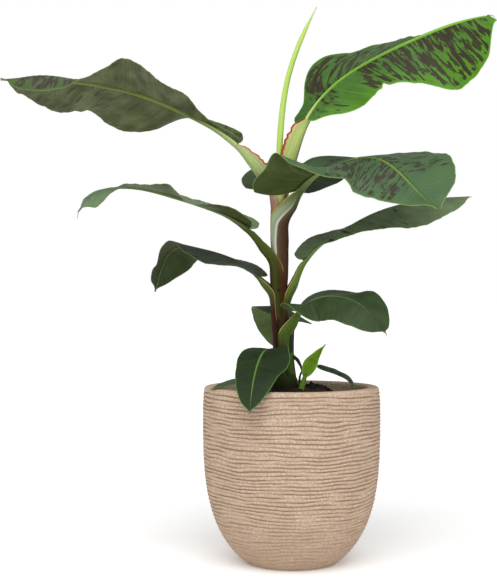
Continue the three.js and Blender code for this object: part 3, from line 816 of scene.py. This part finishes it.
def limb_section(frames, half, turn, wing, lip):
    """A stalk's section: a round back and an upper side channelled between margins that stand up as wings."""
    x, outer = np.cos(turn), turn > math.pi
    psi = across_at(turn)
    back = -0.85 * np.cos(psi * math.pi / 2) + wing * np.abs(psi) ** 3
    channel = wing * np.abs(x) ** 6 - 0.15 * np.sin(turn) ** 2
    out = np.where(outer, np.sin(psi * math.pi / 2), x)
    depth = np.where(outer, back, channel) * half + lip * np.abs(x) ** 14
    return beside(frames, out * half, depth)


def sheath_section(height, aim, wrap, inset, thick, turn, edge=0.5):
    """A sheath's section at a height: it hugs the stem through wrap degrees to each side of where it aims."""
    s = across_at(turn)
    skin = edge + (thick - edge) * (1 - s**2)
    radius = stem_radius(height) + inset - np.where(turn > math.pi, 0, skin)
    angle = aim - s * np.radians(wrap)
    way = np.stack([np.cos(angle), np.sin(angle), np.zeros_like(angle)], axis=-1)
    return stem_axis(height) + way * radius[..., None]


def clear_at(name):
    """How far up its rib a stalk comes clear of the stem."""
    leaf = LEAVES[name]
    travel = np.arange(0.0, leaf["stalk"])
    point = leaf_rib(leaf)(travel)["point"]
    away = np.hypot(*(point - stem_axis(point[:, 2]))[:, :2].T)
    clear = np.nonzero(away > stem_radius(point[:, 2]) + SHEATH["gap"])[0]
    return float(min(travel[clear[0]] if len(clear) else leaf["stalk"], SHEATH["latest"] * leaf["stalk"]))


def layer_height(name):
    return DRESS[name].get("layer", LEAVES[name]["height"])


def sheath_inset(name, height):
    """How far a sheath stands off the stem: a layer less for each older one that still wraps this height."""
    inset = np.full_like(height, SHEATH["stand"])
    for other, leaf in LEAVES.items():
        if "height" in leaf and layer_height(other) < layer_height(name):
            end = leaf["height"] + clear_at(other) + SHEATH["past_end"]
            inset -= SHEATH["layer"] * ease((end - height) / SHEATH["fade"])
    return inset


def make_stalk(name):
    """A leaf's stalk, and its sheath down the stem where it has one."""
    leaf, look = LEAVES[name], DRESS[name]
    seated = "foot" in leaf
    sheath = 10 if seated else min(SHEATH["longest"], leaf["height"] - SHEATH["lowest"])
    sides, rows = (24, 40) if seated else (56, 120)
    travel, turn = lattice(np.linspace(-sheath, leaf["stalk"] + 0.2, rows + 1), sides)
    share = np.clip(travel / leaf["stalk"], 0, 1)
    frames = leaf_rib(leaf)(travel)
    ragged = look["lip"] * (0.55 + 0.9 * noise_at(travel / 7, np.sign(np.cos(turn)) * 3, 0.5 + leaf["stalk"]))
    lip = ragged * ease(travel, -20, 30) * (1 - ease(share, 0.9, 1.0))
    wing = smooth(look["wing"])(share) * (1 - ease(share, 0.88, 1.0))
    half = smooth(leaf["width"])(share) * (1 + 0.12 * (1 - ease(share, 0.6, 1)))
    points = limb_section(frames, half, turn, wing, lip)
    grown = worn = np.ones_like(travel)
    signed = across_at(turn)
    if not seated:
        clear = clear_at(name)
        start, over = look["opens"]
        wrap = SHEATH["wrap"] + look["widen"] * (1 - np.exp(-np.maximum(clear + start - travel, 0) / over))
        level = np.where(travel < 0, leaf["height"] + travel, frames["point"][..., 2])
        inset = sheath_inset(name, level) - 5 * ease(-travel, 0.7 * sheath, sheath)
        inset += 0.3 * noise_at(travel / 30, np.cos(turn) * 1.5, np.sin(turn) * 1.5)
        hug = sheath_section(level, math.radians(leaf["heading"][0]), wrap, inset, SHEATH["thick"], turn)
        blend = min(SHEATH["blend"], 0.25 * leaf["stalk"])
        clasp = look["clasp"] * np.abs(signed) ** 2
        free = ease(travel - clasp, clear - blend, clear + blend)[..., None]
        points = hug * (1 - free) + points * free
        grown = ease(travel, *(clear + np.array(look["turns"])))
        worn = 0.9 + 0.1 * ease(travel, look["fades"] - 12, look["fades"] + 8)
    low, high, start, end = look["drift"]
    across = signed + (low + (high - low) * ease(travel, start, end))
    scar = np.zeros_like(travel)
    for where, along, wide, tall in look["scars"]:
        scar += np.exp(-(((signed - where) / wide) ** 2) - ((travel - along) / tall) ** 2)
    marks = dict(side=np.abs(signed) * worn, across=across, grown=grown, scar=scar)
    piece = closed_tube(f"stalk_{name}", points, dict(limb=(signed * 0.5, travel * MM)), marks)
    dress(piece, stalk_finish(f"stalk {name.replace('_', ' ')}", look))
    return finish_piece(piece, [f"stalk_{name}"])


def make_stem():
    """The stem's core of rolled sheaths, with lengthwise fibres and faint rings."""
    height, turn = lattice(np.linspace(STEM["start"] - 6, STEM["top"], 261), 96)
    x, y = np.cos(turn), np.sin(turn)
    fibres = noise_at(x * 3.2, y * 3.2, height / 90) * 0.7 + noise_at(x * 9, y * 9, height / 45) * 0.35
    rings = 0.5 * np.maximum(noise_at(height / 16, x * 0.4, y * 0.4) - 0.1, 0)
    covered = STEM["covered_by"] * ease(height, STEM["bare_to"], STEM["covered_from"])
    end = 1 - 0.25 * ease(height, STEM["top"] - 6, STEM["top"])
    radius = (stem_radius(height) - covered + fibres + rings) * end
    points = stem_axis(height) + np.stack([x, y, np.zeros_like(x)], axis=-1) * radius[..., None]
    piece = dress(closed_tube("stem", points, dict(limb=(turn / 3, height * MM))), stem_finish())
    return finish_piece(piece, ["stem"])


def make_old_sheaths():
    """The dry foot of an old sheath that stands off the stem, and small ones round the stem's foot."""
    pieces = []
    for i, (foot, tall, aim, wrap, lean) in enumerate(STUBS):
        up, turn = lattice(np.linspace(0, 1, 31), 40)
        level = foot + up * tall * (1 + 0.12 * noise_at(np.cos(turn) * 3, i * 5.0, up * 0))
        narrowed = wrap * (1 - 0.5 * up**1.5)
        points = sheath_section(level, math.radians(aim), narrowed, 0.6 + lean * up**1.6, 2.0, turn)
        maps = dict(limb=(turn / 6, level * MM))
        pieces.append(closed_tube("old_sheath", points, maps, dict(side=np.abs(np.cos(turn)))))
    piece = joined("old_sheaths", pieces)
    dress(piece, plain_limb_finish("dry sheath", "#231f10", "#14110a", "#2c2818", roughness=0.7, relief=0.5))
    return finish_piece(piece)


def make_old_stalk():
    """The withered stalk that hangs from the stem's foot."""
    share, turn = lattice(np.linspace(0, 1, 41), 16)
    x, z = np.cos(turn), np.sin(turn)
    half = smooth(OLD_STALK["width"])(share) * (1 + 0.25 * noise_at(x * 1.5, z * 1.5, share * 9))
    points = beside(limb_frames(OLD_STALK, share), x * half, z * half)
    maps = dict(limb=(turn / 6, share * OLD_STALK["length"] * MM))
    piece = closed_tube("old_stalk", points, maps, dict(side=np.zeros_like(turn)))
    tints = ("#2c3016", "#15140c", "#2c3016")
    dress(piece, plain_limb_finish("withered stalk", *tints, roughness=0.75, relief=0.4))
    return finish_piece(piece, ["old_stalk"])


def make_spear():
    """The rolled spear leaf: a tapering roll whose outer edge winds slowly round it."""
    share, turn = lattice(np.linspace(0, 1, 151), 48)
    wound = (turn + SPEAR["winds"] * share + SPEAR["edge_at"]) % TAU / TAU
    half = smooth(SPEAR["width"])(share) * (0.92 + 0.1 * wound)
    points = beside(limb_frames(SPEAR, share), np.cos(turn) * half, np.sin(turn) * half)
    maps = dict(limb=(wound, share * SPEAR["length"] * MM))
    edge = np.maximum(ease(wound, 0.9, 0.99), ease(share, 0.93, 1.0))
    piece = closed_tube("spear_leaf", points, maps, dict(side=edge))
    tints = ("#c6e474", "#a4c455", "#7f9a3c")
    dress(piece, plain_limb_finish("spear skin", *tints, roughness=0.42, relief=0.25))
    return finish_piece(piece, ["spear_leaf"])


# ---------------------------------------------------------------- blades
def vein_angle(t, leaf, lobe):
    """Degrees between a vein and the rib: fanned back at the base, nearly square along the body, swept
    forward at the tip."""
    body, sweep = VEIN["body"], VEIN["sweep"]
    fan, tip = leaf.get("fan", 0.3), leaf.get("tip", 32)
    back = body + (lobe - body) * np.clip(1 - t / fan, 0, 1) ** 1.4
    return back - (body - tip) * np.clip((t - sweep) / (1 - sweep), 0, 1) ** 1.6


def blade_station(leaf, t):
    """The distance along the rib at a share of the blade, more closely spaced near its base."""
    return leaf["stalk"] + BLADE["clear"] + (leaf["blade"] - BLADE["clear"]) * t ** VEIN["crowd"]


def rib_half(leaf, look, t):
    """The midrib's half width below the blade and of its pale band above."""
    base, rib = leaf["width"][-1], leaf["rib"] * 0.95
    narrow = smooth(look["band"])(t)
    band = narrow + (base * 0.85 - narrow) * (1 - ease(t, 0.0, 0.06))
    under = rib * (1 - 0.7 * t) + (base - rib) * (1 - ease(t, 0.0, 0.3))
    return np.maximum(under, 1.12 * band), band


def blade_surface(name, rows, columns):
    """The blade's middle surface, and for each point the distance along the rib and out along its vein."""
    leaf, look = LEAVES[name], DRESS[name]
    t, share = np.broadcast_arrays(
        np.linspace(0, 1, rows + 1)[:, None], np.linspace(-1, 1, columns + 1)[None, :]
    )
    station = blade_station(leaf, t)
    frames = leaf_rib(leaf)(station)
    left, sign = share < 0, np.sign(share)
    halves = []
    for half in (leaf["left"], leaf["right"]):
        curves = [smooth(curve)(t) for curve in (half["reach"], half["lift"], half.get("curl", [0, 0]))]
        halves.append(curves + [vein_angle(t, leaf, half.get("lobe", leaf["lobe"]))])
    reach, lift, curl, angle = (np.where(left, a, b) for a, b in zip(*halves))
    seed = len(name) * 7.3 + leaf["blade"]
    wobble = noise_at(station / 23, sign * 5, seed) * 0.022 + noise_at(station / 7, sign * 9, seed) * 0.008
    on_side = dict(left=left, right=~left)
    for side, where, long, turned in look["folds"]:
        lift = lift + turned * hump(t, where, long) * on_side[side]
    for side, where, long, deep in look["nicks"]:
        wobble -= deep * hump(t, where, long) * on_side[side]
    length = np.maximum(reach * np.minimum(1, t / 0.06) ** 0.5 * (1 + wobble * (t < 0.97)), 1.5)
    _, band = rib_half(leaf, look, t)
    first = BLADE["rib_columns"] / (columns / 2)
    inner = np.clip(band / length, 0, 0.7)
    beyond = np.clip((np.abs(share) - first) / (1 - first), 0, 1) ** BLADE["spread"]
    v = sign * np.where(np.abs(share) < first, inner * np.abs(share) / first, inner + (1 - inner) * beyond)
    step = np.abs(v) * length / BLADE["steps"]
    angle = np.radians(angle)
    points = frames["point"].copy()
    for i in range(BLADE["steps"]):
        tilt = np.radians(lift + curl * np.abs(v) * (i + 0.5) / BLADE["steps"])
        points += frames["across"] * (sign * np.cos(tilt) * np.sin(angle) * step)[..., None]
        points += frames["up"] * (np.sin(tilt) * np.sin(angle) * step)[..., None]
        points += frames["along"] * (np.cos(angle) * step)[..., None]
    face = frames["up"] * np.cos(tilt)[..., None] - frames["across"] * (sign * np.sin(tilt))[..., None]
    out = np.abs(v) * length
    skew = look["skew"] * ease(t, 0, 0.35) * (1 - ease(t, 0.45, 0.85))
    along = station - leaf["stalk"] - skew * (0.35 * out + 0.003 * out**2)
    dip = -(0.6 * band + 1.5) * (1 - np.clip(out / band, 0, 1) ** 6)
    size = leaf["blade"] / 400
    pleat = np.sin(TAU * along / (9 * size) + 1.5 * noise_at(along / 40, out / 60, seed))
    pleat *= RELIEF["pleat"] * size * ease(out, 0, 14 * size) * (1 - ease(t, 0.93, 1))
    sway = RELIEF["sway"] * size * noise_at(along / 60, v * 1.4, seed + 3) * ease(out, 4, 40 * size)
    ripple = RELIEF["fine"] * noise_at(along / 17, sign * 4, seed + 9) * np.abs(v) ** 4
    ripple += RELIEF["broad"] * noise_at(along / 42, sign * 6, seed + 5) * v**2
    ripple *= size * ease(t, 0.03, 0.1)
    points = points + face * (dip + pleat + sway + ripple)[..., None]
    return dict(points=points, t=t, v=v, along=along, out=sign * out, rim=(1 - np.abs(v)) * length)


def blotch_marks(name, surface):
    """How dense the blotches are at each point: 0 for none, about half for even cover."""
    t, v = surface["t"], surface["v"]
    marks = np.zeros_like(t)
    for side, low, high, dense in DRESS[name]["blotches"]:
        on_side = (v < 0) if side == "left" else (v >= 0)
        along = ease(t, low - 0.04, low + 0.08) * (1 - ease(t, high - 0.1, high + 0.02))
        across = 1 - ease(np.abs(v), 0.9, 1.04)
        marks = np.maximum(marks, dense * along * across * on_side)
    return marks


def blade_tube(name, points, t, length, u, **marks):
    """A tube that is joined to a blade, so it carries the blade's maps and marks as well as its own."""
    none = dict.fromkeys(("rim", "blotch", "glow", "side"), np.zeros_like(t))
    maps = dict(veins=(t, np.zeros_like(t)), limb=(u, t * length))
    return closed_tube(name, points, maps, dict(none, **marks))


def make_midrib(name):
    """The midrib below the blade: round beneath, with a shallow channel that shows above as a pale band."""
    leaf, look = LEAVES[name], DRESS[name]
    sides, rows = (28, 90) if leaf["blade"] > BLADE["small"] else (16, 40)
    t, turn = lattice(np.linspace(0, 0.992, rows + 1) ** 1.2, sides)
    under, band = rib_half(leaf, look, t)
    x, z = np.cos(turn) * under, np.sin(turn)
    channel = -0.15 - 0.3 * band * np.clip(1 - (x / band) ** 2, 0, 1)
    deep = np.maximum(0.85 * under, 0.6 * band + 2.4)
    points = beside(leaf_rib(leaf)(blade_station(leaf, t)), x, np.where(z < 0, deep * z - 0.4, channel))
    grown = 1 - ease(t, 0, 0.3)
    return blade_tube("midrib", points, t, leaf["blade"] * MM, np.cos(turn) * 0.5, grown=grown)


def make_thread(name):
    """The dry thread at a blade's tip."""
    leaf, length = LEAVES[name], DRESS[name]["thread"] + 3
    end = leaf_rib(leaf)(np.array([leaf["stalk"] + leaf["blade"] - 3]))
    x, y, z = end["along"][0]
    e, a = math.degrees(math.asin(z)), math.degrees(math.atan2(y, x))
    sag = [e, e - 10, e - 45, e - 60] if e > -20 else [e, e - 25, -80, -85]
    share, turn = lattice(np.linspace(0, 1, 19), 8)
    half = 0.9 * (1 - 0.75 * share)
    frames = rib_of(end["point"][0], length, sag, [a, a])(share * length)
    points = beside(frames, np.cos(turn) * half, np.sin(turn) * half)
    return blade_tube("thread", points, share, 0.02, turn / 6)


def make_blade(name):
    """A blade with its midrib and tip thread. Upper side, under side, edge and rib each have a finish."""
    leaf, look = LEAVES[name], DRESS[name]
    large = leaf["blade"] > BLADE["small"]
    surface = blade_surface(name, *((220, 72) if large else (90, 32)))
    v, t = np.abs(surface["v"]), surface["t"]
    maps = dict(veins=(surface["along"] * MM, surface["out"] * MM), limb=(v * 0, v * 0))
    # painted glow on the upper side, towards the margins and the tip; on top_right only on its right half
    glow = look["glow"] * np.clip(0.85 * ease(v, 0.3, 1.0) + 0.5 * ease(t, 0.5, 0.95), 0, 1)
    if name == "top_right":
        glow *= surface["v"] > 0
    marks = dict(rim=surface["rim"] * MM, blotch=blotch_marks(name, surface), glow=glow, side=v * 0)
    blade = grid_piece(f"blade_{name}", surface["points"], maps, marks)
    words, vein = name.replace("_", " "), look["vein"]
    dress(
        blade,
        leaf_finish(f"leaf upper {words}", look, look["upper"], True),
        leaf_finish(f"leaf under {words}", look, look["under"], False),
        plain_limb_finish(f"leaf edge {words}", vein, shade_of(vein, 0.8), vein, relief=0.05),
    )
    thick = (BLADE["thick"] if large else BLADE["thin"]) * MM
    settings = dict(offset=0, use_rim=True, material_offset=1, material_offset_rim=2)
    apply_modifier(blade, "SOLIDIFY", thickness=thick, **settings)
    parts = [blade, dress(make_midrib(name), rib_finish(f"leaf rib {words}", look))]
    if look["thread"]:
        parts.append(dress(make_thread(name), DRY))
    return finish_piece(joined(f"blade_{name}", parts), [f"blade_{name}"], angle=50)


# ---------------------------------------------------------------- pot and soil
def pot_radius(z):
    z = np.asarray(z, float)
    radius, widest, height = POT["radius"], POT["widest"], POT["height"]
    above = radius - POT["rim_inset"] * (np.maximum(z - widest, 0) / (height - widest)) ** 2
    foot_share = (1 - (POT["foot"] / radius) ** 2) ** (1 / POT["bulge"])
    down = foot_share * np.maximum(widest - z, 0) / widest
    return np.where(z > widest, above, radius * np.sqrt(np.maximum(1 - down ** POT["bulge"], 0)))


def rib_relief(turn, z):
    """Long wavy ribs that run round the pot and here and there merge. 0 in the grooves, 1 on the ribs."""
    x, y = np.cos(turn), np.sin(turn)
    drift = 0.9 * noise_at(x * 1.5, y * 1.5, z / 80) + 0.34 * noise_at(x * 4.4, y * 4.4, z / 24 + 9)
    wave = 0.5 + 0.5 * np.cos(TAU * (z / POT_RIBS["pitch"] + drift))
    strength = np.clip(0.86 + 0.8 * noise_at(x * 3 + 20, y * 3, z / 7), 0.25, 1)
    strength = strength * (0.7 + 0.3 * ease(z, 20, 160))
    rough = 0.16 * noise_at(x * 55, y * 55, z / 2.6) + 0.1 * noise_at(x * 110, y * 110, z / 1.4)
    return np.clip(1 - (1 - wave) ** 1.6 * strength + rough, 0, 1.15)


def make_pot():
    """The pot: a ribbed egg outside, a smooth rounded rim and a plain inside."""
    height, wall, floor, foot, bend = (POT[key] for key in ("height", "wall", "floor", "foot", "rim_round"))
    brim = float(pot_radius(height))
    corner = [(bend * math.sin(a), bend * math.cos(a)) for a in np.linspace(0, math.pi / 2, 7)[1:]]
    below = [(0, 0), (foot * 0.5, 0), (foot - 3, 0), (foot - 1, 0.3)]
    outside = [(float(pot_radius(z)), z) for z in np.linspace(1.2, height - bend - 0.2, 385)]
    rim = [(brim - bend + down, height - bend + out) for out, down in corner]
    rim += [(brim - wall + bend - out, height - bend + down) for out, down in corner]
    inside = [(float(pot_radius(z)) - wall, z) for z in np.linspace(height - 10, floor + 8, 40)]
    inside += [(foot - wall, floor), (foot * 0.4, floor), (0, floor)]
    profile = np.array(below + outside + rim + inside)
    radius, turn = lattice(profile[:, 0], 224)
    z = np.broadcast_to(profile[:, 1:], turn.shape)
    ribbed = np.zeros_like(z)
    ribbed[len(below) : len(below) + len(outside)] = 1
    low, high = POT_RIBS["from_z"], POT_RIBS["to_z"]
    ribbed = ribbed * ease(z, low, low + 10) * (1 - ease(z, high - 5, high))
    relief = rib_relief(turn, z)
    radius = radius + ribbed * POT_RIBS["depth"] * (relief - POT_RIBS["middle"])
    points = np.stack([np.cos(turn) * radius, np.sin(turn) * radius, z], axis=-1)
    # The relief mark also sets how much painted shade each groove gets.
    piece = closed_tube("pot", points, None, dict(relief=1 - ribbed * (1 - relief)))
    return finish_piece(dress(piece, pot_finish()), ["pot"])


def soil_level(x, y):
    """The soil's height: a mound at the stem, a heap beside it, lower towards the pot, lumpy all over."""
    r = np.hypot(x, y)
    mound = (SOIL["top"] - SOIL["edge"]) * (1 - ease(r, SOIL["ball"] - 8, SOIL["slope_end"]))
    east, north = (x - HEAP["east"]) / HEAP["wide"], (y - HEAP["north"]) / HEAP["deep"]
    heap = HEAP["tall"] * np.exp(-(east**2) - north**2)
    lumps = 3.2 * noise_at(x / 17, y / 17, 3.0) + 1.6 * noise_at(x / 6, y / 6, 7.0)
    return SOIL["edge"] + mound + heap + lumps + 0.7 * noise_at(x / 2.4, y / 2.4)


def make_soil(soil):
    """The soil that fills the pot."""
    surface = np.linspace(2, POT["radius"] - POT["wall"] - 1, 90)
    deep = np.linspace(280, POT["floor"] + 6, 6)
    radius, turn = lattice(np.concatenate([surface, pot_radius(deep) - POT["wall"] - 1]), 180)
    x, y = np.cos(turn) * radius, np.sin(turn) * radius
    levels = np.concatenate([np.zeros(len(surface)), deep])[:, None]
    z = np.where(levels > 0, levels, soil_level(x, y))
    piece = dress(closed_tube("soil", np.stack([x, y, z], axis=-1)), soil)
    return finish_piece(piece, ["soil"])


def make_crumbs(soil):
    """Loose crumbs on the soil."""
    rng = np.random.default_rng(7)
    bpy.ops.object.select_all(action="DESELECT")
    bpy.ops.mesh.primitive_ico_sphere_add(subdivisions=1, radius=1, location=(0, 0, 0))
    crumb = bpy.context.object
    shape = np.array([v.co for v in crumb.data.vertices])
    faces = [list(p.vertices) for p in crumb.data.polygons]
    corners, sides = [], []
    for i in range(SOIL["crumbs"]):
        r, a = SOIL["crumbs_reach"] * math.sqrt(rng.random()), rng.random() * TAU
        size = 0.9 + 3.2 * rng.random() ** 3
        x, y = r * math.cos(a), r * math.sin(a)
        z = float(soil_level(np.array(x), np.array(y))) + 0.3 * size
        squash = rng.uniform(0.6, 1.3, 3)
        lumpy = shape * rng.uniform(0.75, 1.25, (len(shape), 1)) * squash * size
        corners.append((lumpy + [x, y, z]) * MM)
        sides += [[k + i * len(shape) for k in face] for face in faces]
    mesh = bpy.data.meshes.new("soil_crumbs")
    mesh.from_pydata(np.concatenate(corners).tolist(), [], sides)
    crumb.data = mesh
    crumb.name = "soil_crumbs"
    return finish_piece(dress(crumb, soil), angle=30)


# ---------------------------------------------------------------- floor, light and camera
def make_stage():
    bpy.ops.object.select_all(action="DESELECT")
    bpy.ops.mesh.primitive_circle_add(vertices=96, radius=60, fill_type="NGON", location=(0, 0, -0.0005))
    floor = bpy.context.object
    floor.name = "pale_floor"
    white = dict(Base_Color=(0.98, 0.98, 0.98, 1), Emission_Color=(1, 1, 1, 1), Emission_Strength=0.16)
    dress(floor, new_finish("pale floor", roughness=0.9, gloss=0.1, **white)[0])
    world = bpy.data.worlds.new("soft room")
    bpy.context.scene.world = world
    world.use_nodes = True
    tree = world.node_tree
    seen = wire(tree, "ShaderNodeLightPath").outputs["Is Camera Ray"]
    join(tree, tree.nodes["Background"], Color=(1, 1, 1, 1), Strength=spread(tree, seen, 0, 1, 0.5, 1.0))


def make_sun(elevation, azimuth, strength, softness):
    """A broad soft sun, azimuth in degrees from -Y towards -X."""
    light = bpy.data.lights.new("window", "SUN")
    light.energy, light.angle = strength, math.radians(softness)
    lamp = bpy.data.objects.new("window", light)
    bpy.context.collection.objects.link(lamp)
    e, a = math.radians(elevation), math.radians(azimuth)
    way = Vector((-math.cos(e) * math.sin(a), -math.cos(e) * math.cos(a), math.sin(e)))
    lamp.location = way * 4
    lamp.rotation_euler = (-way).to_track_quat("-Z", "Y").to_euler()


def make_camera(east, north, height, focal):
    """A level camera that looks along +Y, with its place in millimetres."""
    lens = bpy.data.cameras.new("camera")
    lens.lens, lens.sensor_width = focal, 36
    camera = bpy.data.objects.new("camera", lens)
    bpy.context.collection.objects.link(camera)
    camera.location = (east * MM, north * MM, height * MM)
    camera.rotation_euler = (math.pi / 2, 0, 0)
    bpy.context.scene.camera = camera


# ---------------------------------------------------------------- assembly
make_camera(east=-84.7, north=-2450, height=527.3, focal=76.2)
make_stage()
make_sun(elevation=50, azimuth=2, strength=2.1, softness=55)
bpy.context.scene.view_settings.view_transform = "Standard"

DRY = plain_limb_finish("dry thread", "#7a6a48", "#4a3c28", "#7a6a48", roughness=0.8)
make_pot()
soil_look = soil_finish()
make_soil(soil_look)
make_crumbs(soil_look)
make_stem()
make_old_sheaths()
make_old_stalk()
make_spear()
for leaf_name in LEAVES:
    make_stalk(leaf_name)
    make_blade(leaf_name)
